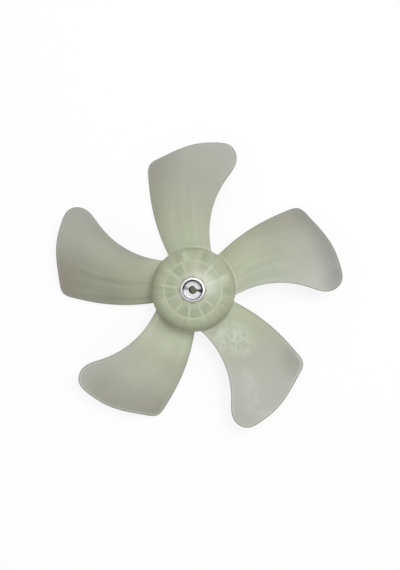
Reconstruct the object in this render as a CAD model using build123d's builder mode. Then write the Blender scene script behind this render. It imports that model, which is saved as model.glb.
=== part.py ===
"""Axial fan impeller: a one-piece plastic moulding with five forward-swept blades round a domed hub,
moulded over a turned metal insert that takes the motor shaft and its nut.

Lengths are millimetres and angles are degrees. The origin is on the axis, at the rear face of the
insert, where the shaft's shoulder seats. +Z points out of the hub's nose, towards the inlet side.
Seen from +Z the impeller turns clockwise, and each blade's leading edge is its nearer edge.
"""
import os
from math import cos, hypot, radians, sin, sqrt, tan

from build123d import *

# Overall sizes
tip_diameter = 300.0
hub_diameter = 86.0
hub_depth = 50.0
blade_count = 5

# Hub shell
hub_wall = 2.8
nose_radius = 100.0
shoulder_radius = 13.0
hub_draft = 1.0
rim_round = 0.8

# Boss and ribs inside the hub
boss_diameter = 35.0
boss_recess = 10.0
rib_count = 12
rib_phase = 81.5
rib_thickness = 1.8
rib_recess = 12.0
ring_rib_diameter = 57.0

# Shaft insert
insert_diameter = 24.0
insert_edge = 0.4
nut_bore_diameter = 18.5
nut_bore_depth = 11.0
nut_bore_chamfer = 1.25
shaft_diameter = 8.0
shaft_flat_height = 7.0
shaft_clearance = 0.1
shaft_flat_direction = 43.0
shaft_lead_in = 0.4
collar_sides = 8
collar_across_flats = 26.8
collar_thickness = 6.0
collar_cover = 1.3

# Blades
blade_phase = 96.0
blade_thickness = 2.6
blade_edge_round = 1.0
blade_root_round = 2.0
root_pitch = 26.0
tip_pitch = 18.5
camber_radius = 280.0
blade_mid_height = 10.0

# Blade outline in plan: share of the way out from hub wall to tip, and sweep from the blade's middle
# line. It runs from the root up the trailing edge, over the tip and down the leading edge.
blade_outline = [
    (0.00, -31.5),
    (0.19, -27.0),
    (0.41, -22.8),
    (0.77, -16.3),
    (0.87, -13.8),
    (0.90, -8.3),
    (0.92, -3.4),
    (0.97, 6.8),
    (0.99, 14.3),
    (0.98, 21.1),
    (0.90, 24.2),
    (0.83, 24.8),
    (0.69, 23.0),
    (0.51, 20.2),
    (0.33, 19.4),
    (0.11, 24.0),
    (0.00, 32.3),
]

rim_level = -boss_recess
nose_level = rim_level + hub_depth
hub_radius = hub_diameter / 2
tip_radius = tip_diameter / 2
root_radius = hub_radius - hub_wall / 2
shaft_bore_radius = (shaft_diameter + shaft_clearance) / 2
shaft_flat_distance = shaft_flat_height + shaft_clearance - shaft_bore_radius


def hub_form(inset):
    """Solid inside the hub's outer surface by inset all round: drafted flank, round shoulder, domed nose."""
    flank_radius = hub_radius - hub_depth * tan(radians(hub_draft)) - inset
    dome_radius = nose_radius - inset
    shoulder_level = nose_level - nose_radius + sqrt(dome_radius**2 - flank_radius**2)
    pole = (0, nose_level - inset)
    shoulder = (flank_radius, shoulder_level)
    with BuildPart() as form:
        with BuildSketch(Plane.XZ) as profile:
            with BuildLine():
                Polyline(pole, (0, rim_level), (hub_radius - inset, rim_level), shoulder)
                RadiusArc(pole, shoulder, dome_radius)
            make_face()
            fillet(profile.vertices().sort_by_distance(Vertex(*shoulder))[0], shoulder_radius - inset)
        revolve(axis=Axis.Z)
    return form.part


def nose_sag(radius):
    """How far the domed nose has dropped at a radius from the axis."""
    return nose_radius - sqrt(nose_radius**2 - radius**2)


def insert_blank():
    """Outside of the shaft insert: a turned barrel with an octagonal collar that keys it in the plastic."""
    collar_top = nose_level - collar_cover - nose_sag(collar_across_flats / 2)
    with BuildPart() as blank:
        Cylinder(insert_diameter / 2, nose_level, align=(Align.CENTER, Align.CENTER, Align.MIN))
        with BuildSketch(Plane.XY.offset(collar_top)):
            RegularPolygon(collar_across_flats / 2, collar_sides, major_radius=False)
        extrude(amount=-collar_thickness)
    return blank.part


def section_pitch(out):
    """Blade pitch at a distance out from the axis, falling evenly from hub to tip."""
    return root_pitch + (tip_pitch - root_pitch) * (out - hub_radius) / (tip_radius - hub_radius)


def section_height(across, out):
    """Height of the blade's middle surface: a twisted plane, bowed towards the inlet side."""
    return blade_mid_height + across * tan(radians(section_pitch(out))) - across**2 / (2 * camber_radius)


def outline_point(span, sweep):
    """Point of the blade's plan outline, in the blade's own frame with +Y out along its middle line."""
    reach = root_radius + span * (tip_radius - root_radius)
    return (reach * sin(radians(sweep)), reach * cos(radians(sweep)))


def make_blade():
    """One blade: bowed sections lofted from hub to tip, trimmed to the plan outline, with round edges."""
    half_width = 0.42 * tip_radius
    innermost = 0.7 * hub_radius
    outermost = 1.03 * tip_radius
    sections = 5
    with BuildPart() as blade:
        for section in range(sections):
            out = innermost + (outermost - innermost) * section / (sections - 1)
            rise = blade_thickness / 2 / cos(radians(section_pitch(out)))
            middle = [(across, section_height(across, out)) for across in (-half_width, 0, half_width)]
            with BuildSketch(Plane(origin=(0, out, 0), x_dir=(1, 0, 0), z_dir=(0, -1, 0))):
                with BuildLine():
                    upper = ThreePointArc(*[(across, height + rise) for across, height in middle])
                    lower = ThreePointArc(*[(across, height - rise) for across, height in middle])
                    Line(upper @ 0, lower @ 0)
                    Line(upper @ 1, lower @ 1)
                make_face()
        loft()
        with BuildSketch(Plane.XY.offset(rim_level)):
            with BuildLine():
                edge = Spline(*[outline_point(span, sweep) for span, sweep in blade_outline])
                RadiusArc(edge @ 0, edge @ 1, root_radius)
            make_face()
        extrude(amount=2 * hub_depth, mode=Mode.INTERSECT)
        fillet(blade.edges().sort_by(Edge.length)[-2:], blade_edge_round)
    return blade.part


def make_hub_ribs():
    """Boss, ring rib and radial ribs, reaching into the hub's wall at the nose and the flank."""
    boss_radius = boss_diameter / 2
    ring_radius = ring_rib_diameter / 2
    with BuildPart() as ribs:
        with BuildSketch(Plane.XY.offset(rim_level + rib_recess)):
            Circle(ring_radius + rib_thickness / 2)
            Circle(ring_radius - rib_thickness / 2, mode=Mode.SUBTRACT)
            with PolarLocations(0, rib_count, start_angle=rib_phase):
                Rectangle(hub_radius, rib_thickness, align=(Align.MIN, Align.CENTER))
        extrude(amount=hub_depth)
        with BuildSketch():
            Circle(boss_radius)
        extrude(amount=hub_depth)
        add(hub_form(hub_wall / 2), mode=Mode.INTERSECT)
    return ribs.part


def meets_flank(edge):
    """Whether an edge follows the joint between a blade and the hub's flank."""
    ends = (edge @ 0, edge @ 1)
    within = all(hypot(end.X, end.Y) < hub_radius and end.Z > rim_level + rim_round for end in ends)
    return within and edge.geom_type != GeomType.CIRCLE and edge.length < hub_diameter


blade = make_blade()

with BuildPart() as fan_moulding:
    add(hub_form(0))
    with PolarLocations(0, blade_count, start_angle=blade_phase - 90):
        add(blade)
    fillet([edge for edge in fan_moulding.edges() if meets_flank(edge)], blade_root_round)
    add(hub_form(hub_wall), mode=Mode.SUBTRACT)
    fillet(fan_moulding.edges().group_by(Axis.Z)[0], rim_round)
    add(make_hub_ribs())
    add(insert_blank(), mode=Mode.SUBTRACT)

with BuildPart() as shaft_insert:
    add(insert_blank())
    chamfer(shaft_insert.edges().group_by(Axis.Z)[-1], insert_edge)
    with Locations((0, 0, nose_level)):
        Hole(nut_bore_diameter / 2, nut_bore_depth)
    mouth = shaft_insert.faces().sort_by(Axis.Z)[-1].edges().sort_by(Edge.length)[0]
    chamfer(mouth, nut_bore_chamfer)
    with BuildSketch():
        Circle(shaft_bore_radius)
        with PolarLocations(shaft_flat_distance, 1, start_angle=shaft_flat_direction):
            Rectangle(shaft_diameter, 2 * shaft_diameter, align=(Align.MIN, Align.CENTER), mode=Mode.SUBTRACT)
    extrude(amount=nose_level, mode=Mode.SUBTRACT)
    shaft_mouth = shaft_insert.edges().group_by(Axis.Z)[0].sort_by(Edge.length)[:2]
    chamfer(shaft_mouth, shaft_lead_in)

fan_moulding.part.label = "fan_moulding"
shaft_insert.part.label = "shaft_insert"

os.makedirs("parts", exist_ok=True)
export_step(fan_moulding.part, "parts/fan_moulding.step")
export_step(shaft_insert.part, "parts/shaft_insert.step")
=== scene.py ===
"""Axial fan impeller, dressed: a pale grey-green plastic moulding over a turned metal insert, nose up."""
from math import acos, atan2, cos, degrees, pi, radians, sin, sqrt, tan

import bmesh
import bpy
import numpy as np
from mathutils import Matrix


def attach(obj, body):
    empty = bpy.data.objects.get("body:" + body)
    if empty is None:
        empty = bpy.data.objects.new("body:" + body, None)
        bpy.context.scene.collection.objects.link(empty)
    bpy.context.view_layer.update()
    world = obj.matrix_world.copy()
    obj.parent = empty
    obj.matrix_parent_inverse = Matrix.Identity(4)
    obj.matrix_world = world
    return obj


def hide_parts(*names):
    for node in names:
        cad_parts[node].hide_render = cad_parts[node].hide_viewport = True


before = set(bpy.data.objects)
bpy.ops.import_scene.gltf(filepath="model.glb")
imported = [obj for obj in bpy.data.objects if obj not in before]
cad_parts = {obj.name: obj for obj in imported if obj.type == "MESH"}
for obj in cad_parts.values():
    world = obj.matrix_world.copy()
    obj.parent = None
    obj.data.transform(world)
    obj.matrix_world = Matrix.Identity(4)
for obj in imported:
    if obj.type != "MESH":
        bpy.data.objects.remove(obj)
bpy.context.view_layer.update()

# Sizes in millimetres and degrees. Meshes are made in millimetres and put into metres at the end.
MM = 0.001
nose_level = 40.0
rim_level = -10.0
hub_radius = 43.0
hub_wall = 2.8
nose_radius = 100.0
shoulder_radius = 13.0
hub_draft = 1.0
rim_round = 0.8
boss_radius = 17.5
boss_fillet = 1.0
boss_foot_round = 0.5
rib_count = 12
rib_phase = 81.5
rib_thickness = 1.8
rib_level = 2.0
rib_foot_round = 0.35
rib_lift = 0.02
ring_rib_radius = 28.5

insert_radius = 12.0
recess_radius = 9.25
recess_chamfer = 1.25
recess_floor = 29.0
shaft_hole_radius = 4.05
shaft_flat_distance = 3.05
shaft_flat_direction = 43.0
collar_flat_radius = 13.4
collar_low = 31.8
collar_high = 37.8
collar_sides = 8

blade_count = 5
blade_phase = 96.0
blade_thickness = 2.6
edge_round = 1.0
root_round = 2.0
root_pitch = 26.0
tip_pitch = 18.5
camber_radius = 280.0
blade_mid_height = 10.0
root_radius = 41.6
tip_radius = 150.0
section_half_width = 63.0
outline_shares = [
    (0.00, -31.5), (0.19, -27.0), (0.41, -22.8), (0.77, -16.3), (0.87, -13.8), (0.90, -8.3),
    (0.92, -3.4), (0.97, 6.8), (0.99, 14.3), (0.98, 21.1), (0.90, 24.2), (0.83, 24.8),
    (0.69, 23.0), (0.51, 20.2), (0.33, 19.4), (0.11, 24.0), (0.00, 32.3),
]
trailing_corner = 4
leading_corner = 9
blade_names = ("top", "left", "lower left", "lower right", "right")

# Numbers of points along the curves
dome_steps, shoulder_steps, flank_steps = 14, 12, 8
rim_steps = 6
hub_turn_steps, ring_turn_steps, insert_turn_steps = 216, 144, 288
rib_steps, rib_foot_steps = 22, 4
fillet_steps = 8
edge_steps, tip_steps, edge_round_steps = 56, 44, 6
root_search_steps = 2000
outline_check_steps = 400


def grid_faces(rows, columns, wrap_rows=False, wrap_columns=False):
    """Quads of a grid of points: each point with the next in its row and the two beyond them."""
    r, c = np.meshgrid(np.arange(rows if wrap_rows else rows - 1),
                       np.arange(columns if wrap_columns else columns - 1), indexing="ij")
    up, right = (r + 1) % rows, (c + 1) % columns
    corners = [r * columns + c, r * columns + right, up * columns + right, up * columns + c]
    return np.stack(corners, -1).reshape(-1, 4)


def arc(centre, radius, start, end, steps):
    """Circular arc in the plane: centre plus radius times the cosine and sine of a turning angle."""
    turn = np.radians(np.linspace(start, end, steps))
    return np.stack([centre[0] + radius * np.cos(turn), centre[1] + radius * np.sin(turn)], -1)


def hub_profile(inset, inner_radius):
    """Half section of the hub's skin, inset all round: the dome's arc from inner_radius out, the shoulder's
    arc that touches both dome and flank, and the straight drafted flank down to the rim."""
    dome = nose_radius - inset
    dome_centre = np.array([0.0, nose_level - nose_radius])
    foot = np.array([hub_radius - inset, rim_level])
    head_radius = hub_radius - (nose_level - rim_level) * tan(radians(hub_draft)) - inset
    head = np.array([head_radius, dome_centre[1] + sqrt(dome**2 - head_radius**2)])
    along = (head - foot) / np.linalg.norm(head - foot)
    inward = np.array([-along[1], along[0]])
    turn = shoulder_radius - inset
    start = foot + turn * inward - dome_centre
    reach = -start @ along + sqrt((start @ along) ** 2 - start @ start + (dome - turn) ** 2)
    centre = dome_centre + start + reach * along
    tangent = degrees(atan2(centre[1] - dome_centre[1], centre[0] - dome_centre[0]))
    outward = degrees(atan2(-inward[1], -inward[0]))
    top = arc(dome_centre, dome, degrees(acos(inner_radius / dome)), tangent, dome_steps)
    bend = arc(centre, turn, tangent, outward, shoulder_steps)
    flank = bend[-1] + np.linspace(0, 1, flank_steps)[1:, None] * (foot - bend[-1])
    return np.vstack([top, bend[1:], flank])


def turned(section, steps):
    """Surface of revolution: each point (radius, height) of the section carried round by equal angles."""
    turn = np.linspace(0, 2 * pi, steps, endpoint=False)
    radius = section[:, :1] * np.ones(steps)
    height = section[:, 1:2] * np.ones(steps)
    return np.stack([radius * np.cos(turn), radius * np.sin(turn), height], -1)


def hub_shell():
    """Hub shell and boss in one closed section, turned round the axis."""
    outer = hub_profile(0, insert_radius)
    inner = hub_profile(hub_wall, boss_radius + boss_fillet)
    rim_middle = rim_level + rim_round
    outer_rim = arc((hub_radius - rim_round, rim_middle), rim_round, 0, -90, rim_steps)
    inner_rim = arc((hub_radius - hub_wall + rim_round, rim_middle), rim_round, -90, -180, rim_steps)
    boss_root = arc((boss_radius + boss_fillet, inner[0, 1] - boss_fillet), boss_fillet, 90, 180, rim_steps)
    boss_foot = arc((boss_radius - boss_foot_round, boss_foot_round), boss_foot_round, 0, -90, rim_steps - 1)
    lip_width, lip_sag, lip_depth = 0.2, 0.03, 0.25
    bore = np.array([(insert_radius, 0.0), (insert_radius, outer[0, 1] - lip_depth)])
    lip = np.array([(insert_radius + lip_width, outer[0, 1] - lip_sag)])
    section = np.vstack([lip, outer[1:-1], outer_rim, inner_rim, inner[-2::-1], boss_root, boss_foot, bore])
    points = turned(section, hub_turn_steps)
    return points, grid_faces(*points.shape[:2], wrap_rows=True, wrap_columns=True)


def rib_section():
    """Lower edge of a rib, with its two corners rounded."""
    half, soft = rib_thickness / 2, rib_foot_round
    left = arc((-half + soft, soft), soft, 180, 270, rib_foot_steps)
    right = arc((half - soft, soft), soft, 270, 360, rib_foot_steps)
    return np.vstack([left, right])


def ribs():
    """Twelve radial ribs: the rib section carried outwards, its sides rising to the middle of the wall."""
    in_boss, short_of_wall = 1.0, 0.3
    wall = hub_profile(hub_wall / 2, boss_radius - 2 * in_boss)
    along = np.linspace(boss_radius - in_boss, hub_radius - hub_wall / 2 - short_of_wall, rib_steps)
    top = np.interp(along, wall[:, 0], wall[:, 1])
    foot = rib_section()
    across = np.concatenate([foot[:1, 0], foot[:, 0], foot[-1:, 0]])
    height = np.tile(np.concatenate([[0], foot[:, 1] + rib_level + rib_lift, [0]]), (len(along), 1))
    height[:, 0] = top
    height[:, -1] = top
    turn = np.radians(rib_phase + 360 / rib_count * np.arange(rib_count))[:, None, None]
    x = along[None, :, None] * np.cos(turn) - across * np.sin(turn)
    y = along[None, :, None] * np.sin(turn) + across * np.cos(turn)
    points = np.stack([x, y, np.broadcast_to(height, x.shape)], -1)
    faces = grid_faces(len(along), len(across), wrap_columns=True)
    step = len(along) * len(across)
    return points, (faces + step * np.arange(rib_count)[:, None, None]).reshape(-1, 4)


def ring_rib():
    """Ring rib: the rib section turned round the axis at the ring's radius, up into the wall."""
    wall = hub_profile(hub_wall / 2, boss_radius)
    top = float(np.interp(ring_rib_radius, wall[:, 0], wall[:, 1]))
    foot = rib_section() + (ring_rib_radius, rib_level)
    section = np.vstack([(foot[0, 0], top), foot, (foot[-1, 0], top)])
    points = turned(section[::-1], ring_turn_steps)
    return points, grid_faces(*points.shape[:2], wrap_rows=True, wrap_columns=True)


def outline_curve():
    """Natural cubic spline through the blade's outline points, spaced by their chords, as a function that
    gives points and inward directions in plan."""
    share, sweep = np.array(outline_shares).T
    reach = root_radius + share * (tip_radius - root_radius)
    given = np.stack([reach * np.sin(np.radians(sweep)), reach * np.cos(np.radians(sweep))], -1)
    knots = np.concatenate([[0], np.cumsum(np.linalg.norm(np.diff(given, axis=0), axis=1))])
    gap = np.diff(knots)
    slope = np.diff(given, axis=0) / gap[:, None]
    count = len(knots)
    system = np.eye(count)
    rows = np.arange(1, count - 1)
    system[rows, rows - 1] = gap[:-1]
    system[rows, rows] = 2 * (gap[:-1] + gap[1:])
    system[rows, rows + 1] = gap[1:]
    bend = np.linalg.solve(system, np.vstack([[0, 0], 6 * np.diff(slope, axis=0), [0, 0]]))

    def at(where):
        part = np.clip(np.searchsorted(knots, where, side="right") - 1, 0, count - 2)
        width = gap[part][:, None]
        back = (where - knots[part])[:, None]
        ahead = width - back
        point = (bend[part] * ahead**3 + bend[part + 1] * back**3) / (6 * width)
        point += (given[part] / width - bend[part] * width / 6) * ahead
        point += (given[part + 1] / width - bend[part + 1] * width / 6) * back
        travel = (bend[part + 1] * back**2 - bend[part] * ahead**2) / (2 * width)
        travel += (given[part + 1] - given[part]) / width - (bend[part + 1] - bend[part]) * width / 6
        travel /= np.linalg.norm(travel, axis=1, keepdims=True)
        return point, np.stack([travel[:, 1], -travel[:, 0]], -1)

    return at, knots


def middle_height(plan):
    """Height of the blade's middle surface: on each line across the blade, the circle through a middle point
    and two points half a section away, which lie along the pitch and drop by the camber."""
    pitch = root_pitch + (tip_pitch - root_pitch) * (plan[..., 1] - hub_radius) / (tip_radius - hub_radius)
    slope = np.tan(np.radians(pitch))
    drop = section_half_width**2 / (2 * camber_radius)
    low = -(section_half_width**2 * (1 + slope**2) + drop**2) / (2 * drop)
    side = -slope * (drop + low)
    across = plan[..., 0]
    height = blade_mid_height + low + np.sqrt(low**2 + 2 * side * across - across**2)
    return height, blade_thickness / 2 / np.cos(np.radians(pitch))


def wall_radius(height):
    """Radius of the hub's outer surface at a height."""
    skin = hub_profile(0, insert_radius)[::-1]
    return np.interp(height, skin[:, 1], skin[:, 0])


def root_flare(plan, height):
    """How much the blade thickens beside the hub: a quarter circle that starts one fillet radius away."""
    gap = np.clip(np.linalg.norm(plan, axis=-1) - wall_radius(height), 0, root_round)
    return root_round - np.sqrt(root_round**2 - (root_round - gap) ** 2)


def root_corner(point, inward):
    """Plan of the root fillet beside one edge of the blade, from inside the hub's wall out to the edge. Its
    arc touches the wall and the edge. Returns points, inward directions and the place of the last point."""
    wall = wall_radius(middle_height(point)[0])
    centre = point - root_round * inward
    near = np.argmax(np.linalg.norm(centre, axis=1) > wall + root_round)
    middle = centre[near] / np.linalg.norm(centre[near])
    start, end = atan2(-middle[1], -middle[0]), atan2(inward[near, 1], inward[near, 0])
    end -= 2 * pi * round((end - start) / (2 * pi))
    turn = np.linspace(start, end, fillet_steps)
    facing = np.stack([np.cos(turn), np.sin(turn)], -1)
    inside_wall = 1.0
    buried = centre[near] - (root_round + inside_wall) * middle
    return np.vstack([buried, centre[near] + root_round * facing]), np.vstack([-middle, facing]), near


def blade_outline():
    """Outline of one blade in its own frame, out along +Y: points in plan from the trailing root round the
    tip to the leading root, their inward directions, and how many of them lie in each root's fillet."""
    at, knots = outline_curve()
    near_trailing = np.linspace(0, knots[1], root_search_steps)
    near_leading = np.linspace(knots[-1], knots[-3], root_search_steps)
    left_root, left_in, left_last = root_corner(*at(near_trailing))
    right_root, right_in, right_last = root_corner(*at(near_leading))
    trailing = np.linspace(near_trailing[left_last], knots[trailing_corner], edge_steps)[1:]
    tip = np.linspace(knots[trailing_corner], knots[leading_corner], tip_steps)[1:-1]
    leading = np.linspace(near_leading[right_last], knots[leading_corner], edge_steps)[1:]
    edge, facing = at(np.concatenate([trailing, tip, leading[::-1]]))
    outer = np.vstack([left_root, edge, right_root[::-1]])
    inward = np.vstack([left_in, facing, right_in[::-1]])
    return outer, inward, len(left_root)


def edge_strip(outer, inward):
    """Rounded edge of the blade: rows along the outline, from its upper side round to its lower side."""
    quarter = np.linspace(0, pi / 2, edge_round_steps)
    rows = []
    for side, angles in ((1, quarter[::-1]), (-1, quarter)):
        for angle in angles:
            plan = outer + inward * edge_round * (1 - cos(angle))
            middle, rise = middle_height(plan)
            flare = root_flare(plan, middle + side * rise)
            rise += flare - edge_round * (1 - sin(angle))
            rows.append(np.column_stack([plan, middle + side * rise]))
    return np.array(rows)


def root_plan(left, right, across):
    """Plan of the skins' rows along the root, from inside the hub's wall to the end of the fillet. They meet
    the strip's points at both edges of the blade, and follow the wall between them."""
    inside_wall, corner_share = 1.6, 0.08
    fillet_reach = root_round * (1 - np.cos(np.linspace(0, pi / 2, fillet_steps)))
    gap = np.concatenate([[-inside_wall], fillet_reach])[:, None]
    turn_left, turn_right = (np.arctan2(side[:, 0], side[:, 1])[:, None] for side in (left, right))
    sweep = turn_left + (turn_right - turn_left) * across
    way = np.stack([np.sin(sweep), np.cos(sweep)], -1)
    reach = wall_radius(middle_height(way * hub_radius)[0]) + gap
    for side, column, share in ((left, 0, across), (right, -1, 1 - across)):
        known = np.hypot(*side.T)
        reach += (known - reach[:, column])[:, None] * np.clip(1 - share / corner_share, 0, 1) ** 2
    return way * reach[..., None]


def skin_plan(line, root_rows, across):
    """Plan of the skins inside the strip's line: the root's rows, and a patch stretched between the last of
    them, the two edges and the tip."""
    side_points = root_rows + edge_steps - 1
    left, right = line[:side_points], line[-side_points:][::-1]
    far = line[side_points - 1:len(line) - side_points + 1]
    root = root_plan(left[:root_rows], right[:root_rows], across)
    low, high = left[root_rows - 1:], right[root_rows - 1:]
    u, v = np.linspace(0, 1, edge_steps)[:, None, None], across[None, :, None]
    patch = (1 - v) * low[:, None] + v * high[:, None] + (1 - u) * root[-1][None] + u * far[None]
    patch -= (1 - u) * ((1 - v) * low[0] + v * high[0]) + u * ((1 - v) * low[-1] + v * high[-1])
    return np.vstack([root, patch[1:]])


def distance_inside(plan):
    """Distance of points in plan from the blade's outline."""
    at, knots = outline_curve()
    outline, _ = at(np.linspace(0, knots[-1], outline_check_steps))
    return np.linalg.norm(plan[:, :, None] - outline, axis=-1).min(-1)


def blade_sheets():
    """One blade in its own frame: an upper and a lower skin, a rounded strip round their outline and a face
    inside the hub's wall, each with the values that the plastic's colour follows."""
    outer, inward, root_rows = blade_outline()
    across = np.linspace(0, 1, tip_steps)
    strip = edge_strip(outer, inward)
    plan = skin_plan(outer + inward * edge_round, root_rows, across)
    middle, rise = middle_height(plan)
    upper, lower = (np.dstack([plan, middle + side * (rise + root_flare(plan, middle + side * rise))])
                    for side in (1, -1))
    buried = np.stack([upper[0], lower[0]])

    skin = np.dstack([np.broadcast_to(across, plan.shape[:2]), blade_share(plan), distance_inside(plan)])
    on_sides = root_rows + edge_steps - 1
    share = np.concatenate([np.zeros(on_sides), across[1:-1], np.ones(on_sides)])
    rim = np.broadcast_to(np.column_stack([share, blade_share(outer), np.zeros(len(share))]), strip.shape)
    faces = grid_faces(*upper.shape[:2])
    return [
        (upper, faces[:, ::-1], skin),
        (lower, faces, skin),
        (strip, grid_faces(*strip.shape[:2])[:, ::-1], rim),
        (buried, grid_faces(*buried.shape[:2]), np.stack([skin[0], skin[0]])),
    ]


def blade_share(plan):
    """Share of the way out from the hub's wall to the tip circle."""
    return (np.linalg.norm(plan, axis=-1) - hub_radius) / (tip_radius - hub_radius)


def turned_about_axis(points, turn):
    """Points turned about the axis by an angle in degrees."""
    c, s = cos(radians(turn)), sin(radians(turn))
    return points @ np.array([[c, s, 0], [-s, c, 0], [0, 0, 1]])


def make_piece(name, sheets, materials, sharp=38.0):
    """Mesh object from sheets of (points, faces, colour guide, material number). Coincident points become
    one, open ends are filled, and edges sharper than the given angle stay crisp."""
    points, faces, guides, numbers, offset = [], [], [], [], 0
    for sheet_points, sheet_faces, guide, number in sheets:
        flat = sheet_points.reshape(-1, 3)
        points.append(flat)
        faces.append(sheet_faces + offset)
        guides.append(np.zeros((len(flat), 3)) if guide is None else guide.reshape(-1, 3))
        numbers.append(np.full(len(sheet_faces), number))
        offset += len(flat)
    merge_distance, most_cap_sides = 2e-7, 16
    mesh = bpy.data.meshes.new(name)
    mesh.from_pydata(np.vstack(points) * MM, [], np.vstack(faces))
    mesh.polygons.foreach_set("material_index", np.concatenate(numbers).astype(np.int32))
    guide_values = np.vstack(guides).astype(np.float32)
    layer = mesh.attributes.new("blade place", "FLOAT_VECTOR", "POINT")
    layer.data.foreach_set("vector", guide_values.ravel())
    build = bmesh.new()
    build.from_mesh(mesh)
    bmesh.ops.remove_doubles(build, verts=build.verts, dist=merge_distance)
    open_edges = [edge for edge in build.edges if edge.is_boundary]
    bmesh.ops.holes_fill(build, edges=open_edges, sides=most_cap_sides)
    bmesh.ops.recalc_face_normals(build, faces=build.faces)
    build.to_mesh(mesh)
    build.free()
    mesh.shade_smooth()
    mesh.set_sharp_from_angle(angle=radians(sharp))
    for material in materials:
        mesh.materials.append(material)
    piece = bpy.data.objects.new(name, mesh)
    bpy.context.scene.collection.objects.link(piece)
    return piece


def fan_sheets():
    """The whole moulding: shell, ribs and ring as sheets of the hub plastic, and five turned blades."""
    sheets = [(points, faces, None, 0) for points, faces in (hub_shell(), ribs(), ring_rib())]
    one = blade_sheets()
    for blade in range(blade_count):
        turn = blade_phase - 90 + 360 / blade_count * blade
        sheets += [(turned_about_axis(p, turn), f, g, 1) for p, f, g in one]
    return sheets


def insert_sheet():
    """Turned insert: rings whose radius is constant, or follows the octagon or the D-shaped hole round."""
    steps = insert_turn_steps
    turn = np.linspace(0, 2 * pi, steps, endpoint=False)
    side = 2 * pi / collar_sides
    octagon = collar_flat_radius / np.cos(turn % side - side / 2)
    facing = np.maximum(np.cos(turn - radians(shaft_flat_direction)), 1e-3)
    hole = np.minimum(shaft_hole_radius, shaft_flat_distance / facing)
    lead, foot, edge, fine, corner = 0.4, 0.3, 0.4, 0.12, 0.1
    mouth = recess_radius + recess_chamfer
    profile = [
        (hole + lead, 0.0), (insert_radius - foot, 0.0), (insert_radius, foot),
        (insert_radius, collar_low), (octagon, collar_low), (octagon, collar_high),
        (insert_radius, collar_high), (insert_radius, nose_level - edge),
        (insert_radius - fine, nose_level - fine), (insert_radius - edge, nose_level),
        (mouth + corner, nose_level), (mouth, nose_level - fine / 2),
        (recess_radius + fine / 2, nose_level - recess_chamfer),
        (recess_radius, nose_level - recess_chamfer - corner),
        (recess_radius, recess_floor + 2 * corner), (recess_radius - 2 * corner, recess_floor),
        (hole + fine, recess_floor), (hole, recess_floor - fine), (hole, lead),
    ]
    radius = np.array([ring * np.ones(steps) for ring, _ in profile])
    height = np.array([level * np.ones(steps) for _, level in profile])
    points = np.stack([radius * np.cos(turn), radius * np.sin(turn), height], -1)
    return [(points, grid_faces(*points.shape[:2], wrap_rows=True, wrap_columns=True), None, 0)]


def srgb(red, green, blue):
    """Colour of eight-bit display values as linear light, with full alpha."""
    value = np.array([red, green, blue]) / 255
    linear = np.where(value <= 0.04045, value / 12.92, ((value + 0.055) / 1.055) ** 2.4)
    return (*map(float, linear), 1.0)


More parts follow.
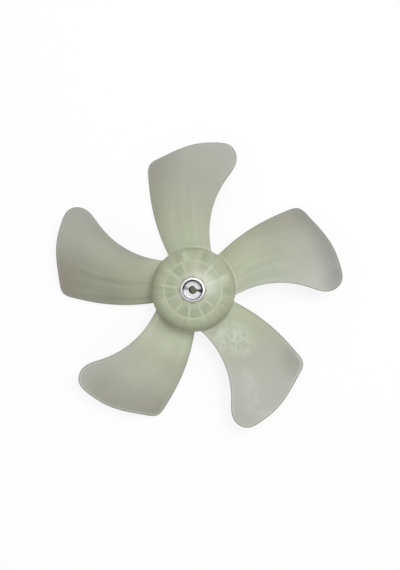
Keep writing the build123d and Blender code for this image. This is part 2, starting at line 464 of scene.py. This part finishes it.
class Wires:
    """Short ways to add nodes to one node tree. A value may be a number, a colour or a node's output."""

    def __init__(self, tree):
        self.tree = tree
        tree.nodes.clear()

    def add(self, kind, **settings):
        made = self.tree.nodes.new(kind)
        for name, value in settings.items():
            setattr(made, name, value)
        return made

    def put(self, socket, value):
        if isinstance(value, bpy.types.NodeSocket):
            self.tree.links.new(value, socket)
        else:
            socket.default_value = value

    def maths(self, operation, *values):
        made = self.add("ShaderNodeMath", operation=operation)
        for socket, value in zip(made.inputs, values):
            self.put(socket, value)
        return made.outputs[0]

    def carry(self, operation, values):
        """One operation carried through all the values, from the first to the last."""
        result = values[0]
        for value in values[1:]:
            result = self.maths(operation, result, value)
        return result

    def plus(self, *values):
        return self.carry("ADD", values)

    def minus(self, *values):
        return self.carry("SUBTRACT", values)

    def times(self, *values):
        return self.carry("MULTIPLY", values)

    def over(self, *values):
        return self.carry("DIVIDE", values)

    def most(self, *values):
        return self.carry("MAXIMUM", values)

    def fade(self, value, start, end, low=0.0, high=1.0):
        """Smooth step from low to high as value goes from start to end."""
        made = self.add("ShaderNodeMapRange", interpolation_type="SMOOTHSTEP")
        for socket, given in zip(made.inputs, (value, start, end, low, high)):
            self.put(socket, given)
        return made.outputs[0]

    def fade_out(self, value, start, end, low=0.0):
        """Smooth step from one down to low as value goes from start to end."""
        return self.fade(value, start, end, 1.0, low)

    def beside(self, value, middle, full, none):
        """One within a distance full of the middle, and nothing beyond the distance none."""
        return self.fade_out(self.maths("ABSOLUTE", self.minus(value, middle)), full, none)

    def blend(self, share, first, second, mode="MIX"):
        made = self.add("ShaderNodeMix", data_type="RGBA", blend_type=mode, clamp_factor=True)
        for number, value in ((0, share), (6, first), (7, second)):
            self.put(made.inputs[number], value)
        return made.outputs[2]

    def coats(self, colour, coats):
        """Colour with coats laid over it in turn. A coat is its share and its colour in display values."""
        for share, over in coats:
            colour = self.blend(share, colour, srgb(*over))
        return colour

    def noise(self, vector, scale, detail, roughness, distortion=0.0, w=None):
        made = self.add("ShaderNodeTexNoise", noise_dimensions="3D" if w is None else "4D")
        values = {"Vector": vector, "Scale": scale, "Detail": detail, "Roughness": roughness,
                  "Distortion": distortion}
        if w is not None:
            values["W"] = w
        for name, value in values.items():
            self.put(made.inputs[name], value)
        return made.outputs[0]

    def apart(self, vector):
        """The three numbers of a vector."""
        parts = self.add("ShaderNodeSeparateXYZ")
        self.put(parts.inputs[0], vector)
        return parts.outputs

    def join(self, x, y, z=0.0):
        """Vector of three numbers."""
        made = self.add("ShaderNodeCombineXYZ")
        for socket, value in zip(made.inputs, (x, y, z)):
            self.put(socket, value)
        return made.outputs[0]

    def place(self):
        """Object coordinates in millimetres, as one vector and as its three numbers."""
        scaled = self.add("ShaderNodeVectorMath", operation="SCALE")
        self.put(scaled.inputs[0], self.add("ShaderNodeTexCoord").outputs["Object"])
        self.put(scaled.inputs["Scale"], 1 / MM)
        return scaled.outputs[0], self.apart(scaled.outputs[0])

    def from_axis(self, x, y):
        """Distance from the axis."""
        return self.maths("SQRT", self.plus(self.times(x, x), self.times(y, y)))

    def oval(self, x, y, centre, halves, lean=0.0):
        """Distance from a centre, in half sizes of an oval whose long way is turned down by lean degrees."""
        c, s = cos(radians(lean)), sin(radians(lean))
        right, up = self.minus(x, centre[0]), self.minus(y, centre[1])
        along = self.minus(self.times(right, c), self.times(up, s))
        aside = self.plus(self.times(right, s), self.times(up, c))
        return self.from_axis(self.over(along, halves[0]), self.over(aside, halves[1]))

    def bump(self, height, strength, depth):
        """Normal of a fine relief, with its depth in millimetres."""
        made = self.add("ShaderNodeBump")
        for name, value in (("Strength", strength), ("Distance", depth * MM), ("Height", height)):
            self.put(made.inputs[name], value)
        return made.outputs[0]

    def show(self, shader, output="ShaderNodeOutputMaterial"):
        """Put the shader on the tree's output."""
        self.put(self.add(output).inputs["Surface"], shader)

    def principled(self, colour, roughness, normal, **others):
        """Show a principled surface, with any other inputs by name."""
        shader = self.add("ShaderNodeBsdfPrincipled")
        values = {"Base Color": colour, "Roughness": roughness, "Normal": normal, **others}
        for name, value in values.items():
            self.put(shader.inputs[name], value)
        self.show(shader.outputs[0])


def new_material(name):
    """Empty node material and its wires."""
    material = bpy.data.materials.new(name)
    material.use_nodes = True
    return material, Wires(material.node_tree)


def plastic_tone_group():
    """Node group with the tone of the natural plastic, greener by the hub and greyer at the tips, with soft
    clouds and fine grain, and a roughness and a height that change with them."""
    group = bpy.data.node_groups.new("plastic tone", "ShaderNodeTree")
    for label, kind in (("Color", "Color"), ("Roughness", "Float"), ("Height", "Float")):
        group.interface.new_socket(name=label, in_out="OUTPUT", socket_type="NodeSocket" + kind)
    wires = Wires(group)
    out = wires.add("NodeGroupOutput")
    spot, (x, y, _) = wires.place()
    clouds = wires.noise(spot, 0.035, 3.0, 0.55)
    grain = wires.noise(spot, 0.9, 3.0, 0.6)
    tone = wires.coats(srgb(171, 176, 150), [
        (wires.fade(wires.from_axis(x, y), 50.0, 135.0), (163, 164, 153)),
        (wires.fade(clouds, 0.35, 0.65, 0.0, 0.35), (178, 181, 160)),
    ])
    lighter = wires.plus(0.97, wires.times(grain, 0.06))
    tone = wires.blend(1.0, tone, wires.join(lighter, lighter, lighter), "MULTIPLY")
    wires.put(out.inputs["Color"], tone)
    wires.put(out.inputs["Roughness"], wires.fade(clouds, 0.3, 0.7, 0.36, 0.46))
    wires.put(out.inputs["Height"], wires.noise(spot, 1.6, 2.0, 0.5))
    return group


def satin_plastic(wires, colour, tone):
    """Satin plastic surface with a very slight moulded grain."""
    normal = wires.bump(tone.outputs["Height"], strength=0.12, depth=0.05)
    wires.principled(colour, tone.outputs["Roughness"], normal, IOR=1.49)


def hub_plastic(tone_group):
    """Hub plastic: the ribs, ring, boss and the insert's collar show through the skin as lighter and darker
    tones, uneven from rib to rib. Over them lies painted light and shade: a painted highlight over the boss
    and a painted glare to the upper right, painted shade on the slope that faces the lamp, and painted shade
    that deepens round the shoulder towards the lower left."""
    material, wires = new_material("hub plastic")
    tone = wires.add("ShaderNodeGroup", node_tree=tone_group)
    spot, (x, y, z) = wires.place()
    radius = wires.from_axis(x, y)
    angle = wires.maths("ARCTAN2", y, x)

    def sector(middle, half_width):
        """Soft sector round the axis: one at its middle, nothing beyond its half width (degrees)."""
        facing = wires.maths("COSINE", wires.minus(angle, radians(middle)))
        return wires.fade(facing, cos(radians(half_width)), cos(radians(half_width / 4)))

    def from_middle(first, count):
        """Angle from the middle of the point's own sector, one of count. The first one's middle is given."""
        step = 2 * pi / count
        through = wires.maths("FRACT", wires.over(wires.minus(angle, first - step / 2), step))
        return wires.times(wires.minus(through, 0.5), step)

    rib_gap = wires.times(wires.maths("ABSOLUTE", from_middle(radians(rib_phase), rib_count)), radius)
    rib_blur = wires.fade(radius, 27.0, 34.0, 1.8, 3.4)
    rib_line = wires.times(wires.fade_out(rib_gap, 0.2, rib_blur), wires.fade(radius, 14.0, 20.0),
                           wires.fade_out(radius, 28.0, 37.0, 0.05))
    ring_line = wires.times(wires.beside(radius, ring_rib_radius, 0.2, 1.6),
                            wires.fade_out(y, -12.0, 24.0, 0.45))
    uneven = wires.fade(wires.noise(spot, 0.055, 2.0, 0.5), 0.38, 0.62, 0.55, 1.1)
    faint = wires.fade_out(wires.most(sector(105.0, 40.0), sector(-8.0, 16.0)), 0.0, 1.0, 0.4)
    lines = wires.times(wires.most(wires.times(rib_line, faint), ring_line), uneven)

    ray = wires.join(wires.over(x, radius), wires.over(y, radius), wires.times(radius, 0.004))
    streaks = wires.fade(wires.noise(ray, 9.0, 4.0, 0.6), 0.44, 0.64, 0.0, 0.36)
    # Painted highlight: the boss shows through lighter, and lighter still towards the lamp at the upper
    # right.
    lit_upper_right = wires.fade(wires.plus(x, wires.times(y, 0.4)), -12.0, 22.0)
    boss = wires.times(wires.fade_out(radius, 15.0, 21.0), wires.plus(0.3, wires.times(lit_upper_right, 0.7)))
    half_deep = wires.times(wires.most(sector(185.0, 30.0), sector(-80.0, 48.0)), 0.6)
    deep = wires.most(sector(127.0, 15.0), sector(62.0, 15.0), half_deep)
    panels = wires.times(wires.fade(radius, 16.5, 20.0), wires.fade_out(radius, 26.5, 28.5, 0.2),
                         wires.plus(0.3, wires.times(deep, 0.7)))
    outside = wires.times(wires.fade(radius, 28.5, 31.0), wires.fade_out(radius, 35.0, 42.0))
    dark_sectors = wires.most(sector(113.0, 8.0), sector(69.0, 9.0), sector(-2.0, 9.0),
                              wires.times(sector(176.0, 9.0), 0.6))
    pale_sectors = wires.most(sector(102.0, 7.0), sector(20.0, 9.0))
    # Painted shade on the slope that faces the lamp, damping the sheen there.
    sheen_damping_shade = wires.times(sector(48.0, 34.0), wires.fade(radius, 20.0, 25.0), wires.fade_out(radius, 29.0, 38.0))
    glare = wires.fade_out(wires.from_axis(wires.minus(x, 18.5), wires.minus(y, 3.5)), 1.0, 13.0)
    # Painted shade: darker round the shoulder, and more so on the lower left, away from the lamp.
    shaded_low_side = wires.minus(1.1, wires.fade(wires.plus(wires.times(x, 0.8), y), -24.0, 34.0))
    shoulder = wires.times(wires.fade(radius, 29.0, 42.5, 0.0, 0.62), shaded_low_side)
    from_flat = from_middle(pi / collar_sides, collar_sides)
    flat_distance = wires.times(radius, wires.maths("COSINE", from_flat))
    collar = wires.times(wires.beside(flat_distance, 12.1, 0.3, 1.1),
                         wires.fade(radius, 12.4, 13.2, 0.25, 0.9))
    shade = wires.coats(tone.outputs["Color"], [
        (0.25, (156, 160, 138)),
        (wires.times(panels, 0.6), (146, 151, 127)),
        (streaks, (142, 149, 121)),
        (wires.times(outside, dark_sectors, 0.5), (136, 143, 116)),
        (wires.times(sheen_damping_shade, 0.42), (134, 141, 114)),
        (wires.times(outside, pale_sectors, 0.25), (206, 211, 188)),
        (wires.times(lines, 0.38), (206, 211, 188)),
        (wires.times(boss, 0.2), (208, 212, 200)),
        (wires.times(glare, 0.4), (210, 215, 202)),
        (shoulder, (128, 134, 104)),
        (collar, (112, 116, 108)),
    ])
    top_only = wires.fade(z, 19.0, 28.0)
    satin_plastic(wires, wires.blend(top_only, tone.outputs["Color"], shade), tone)
    return material


class BladePlace:
    """Where a point lies on the blades: across from the trailing to the leading edge and outwards from the
    hub to the tip circle, both as shares, inside the outline in millimetres, and on which blade."""

    def __init__(self, wires):
        self.wires = wires
        guide = wires.add("ShaderNodeAttribute", attribute_name="blade place").outputs["Vector"]
        self.across, self.outwards, self.inside = wires.apart(guide)
        self.spot, (self.x, self.y, _) = wires.place()
        step = 2 * pi / blade_count
        angle = wires.minus(wires.maths("ARCTAN2", self.y, self.x), radians(blade_phase) - step / 2)
        number = wires.maths("FLOOR", wires.over(angle, step))
        self.number = wires.maths("FLOORED_MODULO", number, float(blade_count))

    def only(self, blade):
        """One on the named blade and nothing on the others."""
        return self.wires.maths("COMPARE", self.number, float(blade_names.index(blade)), 0.5)


def broad_tones(wires, at):
    """Coats of all blades: greyer outwards and to the leading edge, and painted light and shade: painted
    shade to the trailing edge, a painted shadow of the hub on the lower left blade, and painted light and
    shade on each blade's lit and shaded sides and roots."""
    across, outwards = at.across, at.outwards
    top, left, lower_left, lower_right, right = [at.only(name) for name in blade_names]
    grey = wires.plus(wires.fade(outwards, 0.25, 1.0, 0.0, 0.45), wires.fade(across, 0.45, 1.0, 0.0, 0.3))
    # Painted shade to the trailing edge, darkest outwards, where the blade lies lowest by the floor.
    trailing_shade_share = wires.minus(0.55, wires.times(lower_right, 0.3), wires.times(lower_left, 0.2))
    trailing_shade = wires.times(wires.fade_out(across, 0.0, 0.5), wires.fade(outwards, 0.0, 0.8), trailing_shade_share)
    # Painted light by the roots and on the lit sides of some blades.
    root_light_share = wires.plus(
        wires.times(top, 0.36),
        wires.times(lower_right, wires.fade(across, 0.15, 0.45, 0.3, 0.0)),
        wires.times(right, wires.fade(across, 0.2, 0.5, 0.0, 0.3), wires.fade_out(across, 0.55, 0.8, 0.4)))
    root_glow = wires.times(wires.fade_out(outwards, 0.0, 0.45), root_light_share)
    corner_glow = wires.times(left, wires.fade(across, 0.5, 0.8), wires.fade(outwards, 0.05, 0.18, 0.35, 0.0))
    side_glow = wires.times(lower_left, wires.fade(outwards, 0.17, 0.37, 0.66, 0.12),
                            wires.fade_out(outwards, 0.5, 0.8), wires.fade_out(across, 0.2, 0.95, 0.45))
    shadow = wires.times(lower_left, wires.fade(outwards, 0.03, 0.15, 0.5, 0.0),
                         wires.fade(across, 0.25, 0.6))
    # Painted shade on the sides of the blades that face away from the lamp.
    left_side_shade = wires.times(wires.fade(across, 0.75, 0.3, 0.15, 0.62),
                           wires.fade(outwards, 0.0, 0.4, 0.2, 1.0))
    lower_left_side_shade = wires.times(wires.fade(outwards, 0.5, 0.95, 0.0, 0.45), wires.fade(across, 1.0, 0.7))
    lower_right_side_shade = wires.times(wires.fade(across, 0.2, 0.5, 0.0, 0.17),
                                  wires.fade_out(outwards, 0.4, 0.6, 0.2))
    side_shade = wires.plus(wires.times(left, left_side_shade), wires.times(lower_left, lower_left_side_shade),
                     wires.times(lower_right, lower_right_side_shade))
    return [
        (grey, (166, 167, 159)),
        (trailing_shade, (138, 138, 119)),
        (wires.plus(root_glow, corner_glow, side_glow), (196, 201, 179)),
        (shadow, (140, 145, 116)),
        (side_shade, (128, 129, 111)),
    ]


def flow_streaks(wires, at):
    """Coats of all blades: soft dark and pale streaks of the flow, from the root outwards."""
    across, outwards = at.across, at.outwards
    flow_place = wires.join(wires.times(across, 5.5), wires.times(outwards, 0.8))
    flow = wires.noise(flow_place, 1.0, 2.0, 0.55, 0.2, w=wires.times(at.number, 7.3))
    reach = wires.fade(outwards, 0.1, 0.9, 1.0, 0.1)
    paler = wires.plus(0.1, wires.times(at.only("right"), wires.fade(across, 0.4, 0.7, 0.0, 0.12)),
                       wires.times(at.only("lower left"), 0.12))
    return [
        (wires.times(wires.fade(flow, 0.5, 0.66), reach, 0.09), (128, 131, 104)),
        (wires.times(wires.fade(flow, 0.5, 0.34), reach, paler), (205, 210, 196)),
    ]


def left_blade_marks(wires, at):
    """Coats of the left blade: fine bands on its trailing side, a darker leading edge and painted shade,
    brownish, at the trailing corner.
    """
    across, outwards, here = at.across, at.outwards, at.only("left")
    along = wires.plus(across, wires.times(outwards, 0.06))
    fine = wires.noise(wires.join(wires.times(along, 13.0), wires.times(outwards, 0.9)), 1.0, 1.0, 0.5)
    banded = wires.times(here, wires.fade_out(across, 0.42, 0.62), wires.fade_out(outwards, 0.6, 0.85))
    leading = wires.times(here, wires.fade(across, 0.78, 0.97), wires.fade(outwards, 0.03, 0.14),
                          wires.fade_out(outwards, 0.6, 0.95, 0.3))
    # Painted shade at the trailing corner, where the blade lies lowest by the floor.
    corner = wires.times(here, wires.fade(outwards, 0.68, 0.84), wires.fade(across, 0.5, 0.2))
    return [
        (wires.times(banded, wires.fade(fine, 0.5, 0.64, 0.0, 0.2)), (118, 123, 94)),
        (wires.times(banded, wires.fade(fine, 0.48, 0.34, 0.0, 0.15)), (186, 191, 166)),
        (wires.times(leading, 0.28), (132, 134, 128)),
        (wires.times(corner, 0.55), (140, 131, 121)),
    ]


def right_blade_marks(wires, at):
    """Coats of the right blade: bluish side with pale streaks by the leading edge, and a grey tip."""
    across, outwards, here = at.across, at.outwards, at.only("right")
    bluish = wires.times(here, wires.fade(across, 0.5, 0.68), wires.fade(outwards, 0.04, 0.14),
                         wires.fade_out(outwards, 0.35, 0.65))
    flow = wires.noise(wires.join(wires.times(across, 9.0), wires.times(outwards, 0.9), 4.0), 1.0, 2.0, 0.5)
    tip = wires.times(here, wires.fade(outwards, 0.72, 0.95), wires.fade(across, 0.4, 0.9, 0.72, 1.0))
    return [
        (wires.times(bluish, 0.22), (146, 157, 142)),
        (wires.times(bluish, wires.fade(flow, 0.48, 0.62), 0.15), (196, 206, 192)),
        (tip, (124, 125, 120)),
    ]


def lower_right_blade_marks(wires, at):
    """Coats of the lower right blade: an uneven change to grey, a veined whitish cloud near the root, a
    fainter patchy band outwards of it, and painted shade at the trailing corner."""
    across, outwards, here = at.across, at.outwards, at.only("lower right")
    unevenness = wires.fade(wires.noise(at.spot, 0.045, 4.0, 0.6), 0.3, 0.7, -0.12, 0.12)
    boundary = wires.plus(outwards, unevenness, wires.times(wires.minus(across, 0.5), 0.3))
    cloud_centre, cloud_halves, cloud_lean = (38.5, -48.5), (34.1, 23.1), 21.2
    from_cloud = wires.oval(at.x, at.y, cloud_centre, cloud_halves, cloud_lean)
    cloud = wires.times(here, wires.fade_out(from_cloud, 0.3, 1.0))
    band = wires.times(here, wires.beside(across, 0.74, 0.02, 0.16), wires.fade(outwards, 0.42, 0.55))
    patches = wires.fade(wires.noise(at.spot, 0.1, 6.0, 0.75), 0.38, 0.64)
    veins = wires.beside(wires.noise(at.spot, 0.07, 5.0, 0.7), 0.5, 0.0, 0.035)
    # Painted shade at the trailing corner, where the blade lies lowest by the floor.
    shade_centre, shade_halves = (101.0, -73.0), (16.0, 23.0)
    from_shade = wires.oval(at.x, at.y, shade_centre, shade_halves)
    return [
        (wires.times(here, wires.fade(boundary, 0.36, 0.48), 0.62), (165, 166, 158)),
        (wires.times(wires.plus(wires.times(cloud, 0.5), wires.times(band, 0.15)), patches), (203, 213, 199)),
        (wires.times(wires.most(cloud, wires.times(band, 0.4)), veins, 0.3), (214, 218, 208)),
        (wires.times(here, wires.fade(from_shade, 0.0, 1.1, 0.5, 0.0)), (136, 138, 127)),
    ]


def outline_tones(wires, at):
    """Coats of all blades: painted shade along the rim, a painted highlight strip inside it where the edge
    rounds, and a painted highlight line along two of the roots.
    """
    across, outwards, inside = at.across, at.outwards, at.inside
    # Painted shade along the rounded rim of the outline.
    rim = wires.times(wires.fade_out(inside, 0.3, 1.4), wires.fade(outwards, 0.015, 0.08))
    highlight_strip_share = wires.plus(0.1, wires.times(at.only("lower right"), wires.fade(across, 0.0, 0.4, 0.5, 0.2)),
                             wires.times(at.only("lower left"), 0.25))
    # Painted highlight on a strip just inside the rim, where the rounded edge catches the light.
    strip = wires.times(wires.fade(inside, 1.2, 1.8), wires.fade_out(inside, 2.2, 3.2),
                        wires.fade(outwards, 0.3, 0.9), highlight_strip_share)
    # Painted highlight along the root fillets of the lit blades.
    lit_roots = wires.plus(at.only("right"), wires.times(at.only("top"), wires.fade(across, 0.35, 0.7)))
    root_highlight = wires.times(wires.fade(outwards, 0.0, 0.005), wires.fade_out(outwards, 0.008, 0.016),
                            lit_roots)
    return [
        (wires.times(rim, 0.5), (142, 143, 134)),
        (strip, (205, 206, 198)),
        (wires.times(root_highlight, 0.3), (208, 213, 190)),
    ]


def blade_plastic(tone_group):
    """Blade plastic: green by the hub, grey at the leading edge and the tip, with soft flow streaks along the
    blade and each blade's own marks, and painted light and shade: painted shade along the trailing edge and
    on the shaded sides, painted light on the lit sides and roots, and painted highlights along the edges."""
    material, wires = new_material("blade plastic")
    tone = wires.add("ShaderNodeGroup", node_tree=tone_group)
    at = BladePlace(wires)
    shade = tone.outputs["Color"]
    for part in (broad_tones, flow_streaks, left_blade_marks, right_blade_marks, lower_right_blade_marks,
                 outline_tones):
        shade = wires.coats(shade, part(wires, at))
    satin_plastic(wires, shade, tone)
    return material


def turned_metal():
    """Turned metal: fine rings round the axis, and painted reflection and shade: dark sectors painted on the
    recess's floor between the bright ones where the rings catch the light, a painted dark crescent of shade
    and reflection round its upper side, and a painted shadow line on the ring below."""
    material, wires = new_material("turned metal")
    spot, (x, y, z) = wires.place()
    radius = wires.from_axis(x, y)
    rings = wires.noise(wires.join(radius, z), 5.0, 2.0, 0.6)
    lean = radians(8.0)
    up = wires.plus(wires.times(x, sin(lean)), wires.times(y, cos(lean)))
    right = wires.minus(wires.times(x, cos(lean)), wires.times(y, sin(lean)))
    spread = wires.over(wires.maths("ABSOLUTE", up), wires.plus(radius, 0.001))
    in_recess = wires.times(wires.fade(z, recess_floor - 0.5, recess_floor - 0.1),
                            wires.fade_out(radius, 9.8, 10.0))
    left_side = wires.fade_out(right, -1.5, 1.5)
    wedge_reach = wires.plus(0.34, wires.times(left_side, wires.fade(up, -1.0, 1.0, -0.12, 0.2)))
    # Painted reflection: dark sectors on the floor to left and right, where the turned rings reflect the dark
    # sides.
    reflected_wedges = wires.times(wires.fade_out(spread, 0.12, wedge_reach), in_recess,
                         wires.fade_out(left_side, 0.0, 1.0, 0.6))
    # Painted shade and reflection: a dark crescent round the recess's upper side.
    crescent = wires.times(in_recess, wires.fade(radius, 8.45, 8.95), wires.fade(up, -2.0, 2.0))
    # Painted shadow: a dark line on the ring's lower side, between insert and plastic.
    low_shade_line = wires.times(wires.beside(radius, 11.15, 0.1, 0.45), wires.fade(y, 3.0, -8.0, 0.0, 0.6))
    edge = wires.fade(radius, 11.5, 11.7)
    grain = wires.fade(wires.noise(spot, 0.9, 3.0, 0.6), 0.3, 0.7)
    face = wires.blend(grain, srgb(208, 208, 208), srgb(220, 220, 220))
    floor = wires.blend(grain, srgb(172, 172, 174), srgb(188, 188, 190))
    colour = wires.coats(wires.blend(in_recess, face, floor), [
        (wires.times(reflected_wedges, 0.95), (46, 47, 52)),
        (wires.times(crescent, 0.97), (20, 21, 25)),
        (low_shade_line, (96, 98, 100)),
        (wires.times(edge, 0.35), (112, 114, 110)),
    ])
    normal = wires.bump(rings, strength=0.15, depth=0.04)
    wires.principled(colour, wires.fade(rings, 0.3, 0.7, 0.28, 0.4), normal, Metallic=1.0)
    return material


def floor_material():
    """White floor. The camera sees it nearly white with a faint shadow, and under the hub, where it shows
    through the shaft hole, it glows a painted grey-green shade for the camera."""
    material, wires = new_material("white floor")
    _, (x, y, _) = wires.place()
    # Painted shade: under the hub the floor glows a dim grey-green for the camera.
    shaded_under_hub = wires.fade_out(wires.from_axis(x, y), 20.0, 40.0)
    shader = wires.add("ShaderNodeBsdfDiffuse")
    wires.put(shader.inputs["Color"], (0.9, 0.9, 0.9, 1.0))
    glow = wires.add("ShaderNodeEmission")
    wires.put(glow.inputs["Color"], wires.blend(shaded_under_hub, (1.0, 1.0, 1.0, 1.0), srgb(105, 109, 90)))
    camera_ray = wires.add("ShaderNodeLightPath").outputs["Is Camera Ray"]
    mix = wires.add("ShaderNodeMixShader")
    wires.put(mix.inputs[0], wires.times(camera_ray, wires.fade(shaded_under_hub, 0.0, 1.0, 0.84, 1.0)))
    wires.put(mix.inputs[1], shader.outputs[0])
    wires.put(mix.inputs[2], glow.outputs[0])
    wires.show(mix.outputs[0])
    return material


def floor_and_light():
    """White floor at the hub's rim, an even pale sky and one broad soft lamp from the upper right."""
    mesh = bpy.data.meshes.new("floor")
    half, level = 4.0, rim_level * MM
    corners = [(-half, -half, level), (half, -half, level), (half, half, level), (-half, half, level)]
    mesh.from_pydata(corners, [], [(0, 1, 2, 3)])
    mesh.materials.append(floor_material())
    floor = bpy.data.objects.new("floor", mesh)
    bpy.context.scene.collection.objects.link(floor)

    world = bpy.data.worlds.new("studio")
    bpy.context.scene.world = world
    world.use_nodes = True
    wires = Wires(world.node_tree)
    path = wires.add("ShaderNodeLightPath")
    kinds = ("Is Camera Ray", "Is Glossy Ray", "Is Transmission Ray")
    seen = wires.most(*[path.outputs[kind] for kind in kinds])
    sky = wires.add("ShaderNodeBackground")
    wires.put(sky.inputs["Strength"], wires.fade(seen, 0.0, 1.0, 0.78, 1.0))
    wires.show(sky.outputs[0], "ShaderNodeOutputWorld")

    lamp = bpy.data.lights.new("soft lamp", "AREA")
    lamp.size, lamp.energy = 0.6, 11.5
    holder = bpy.data.objects.new("soft lamp", lamp)
    bpy.context.scene.collection.objects.link(holder)
    holder.location = (0.34, 0.36, 1.41)
    aim = -np.array(holder.location)
    holder.rotation_euler = (acos(-aim[2] / np.linalg.norm(aim)), 0, atan2(aim[1], aim[0]) - pi / 2)


def place_camera():
    """Camera straight above, a little off the axis and hardly tilted, as the photograph was taken. Distance
    and shift are in the photograph's pixels, and scale is a pixel's size at the blades' middle height."""
    scale, distance, shift = 1.01685, 800.0, np.array([-6.38, -4.42, 0.0])
    tilt_x, tilt_y = radians(0.665), radians(-1.563)
    image_height, sensor_height = 570, 36.0
    about_x = np.array([[1, 0, 0], [0, cos(tilt_x), -sin(tilt_x)], [0, sin(tilt_x), cos(tilt_x)]])
    about_y = np.array([[cos(tilt_y), 0, sin(tilt_y)], [0, 1, 0], [-sin(tilt_y), 0, cos(tilt_y)]])
    seen = about_y @ about_x
    where = seen.T @ (np.array([0, 0, distance]) - shift) * scale + np.array([0, 0, blade_mid_height])
    camera = bpy.data.cameras.new("camera")
    camera.sensor_fit = "VERTICAL"
    camera.sensor_height = sensor_height
    camera.lens = distance * sensor_height / image_height
    holder = bpy.data.objects.new("camera", camera)
    bpy.context.scene.collection.objects.link(holder)
    matrix = np.eye(4)
    matrix[:3, :3] = seen.T
    matrix[:3, 3] = where * MM
    holder.matrix_world = Matrix(matrix)
    bpy.context.scene.camera = holder


tone = plastic_tone_group()
fan = make_piece("fan_moulding_skin", fan_sheets(), [hub_plastic(tone), blade_plastic(tone)])
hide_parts("fan_moulding")
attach(fan, "root")
insert = make_piece("shaft_insert_skin", insert_sheet(), [turned_metal()], sharp=30.0)
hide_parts("shaft_insert")
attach(insert, "root")

floor_and_light()
place_camera()
bpy.context.scene.view_settings.view_transform = "Standard"
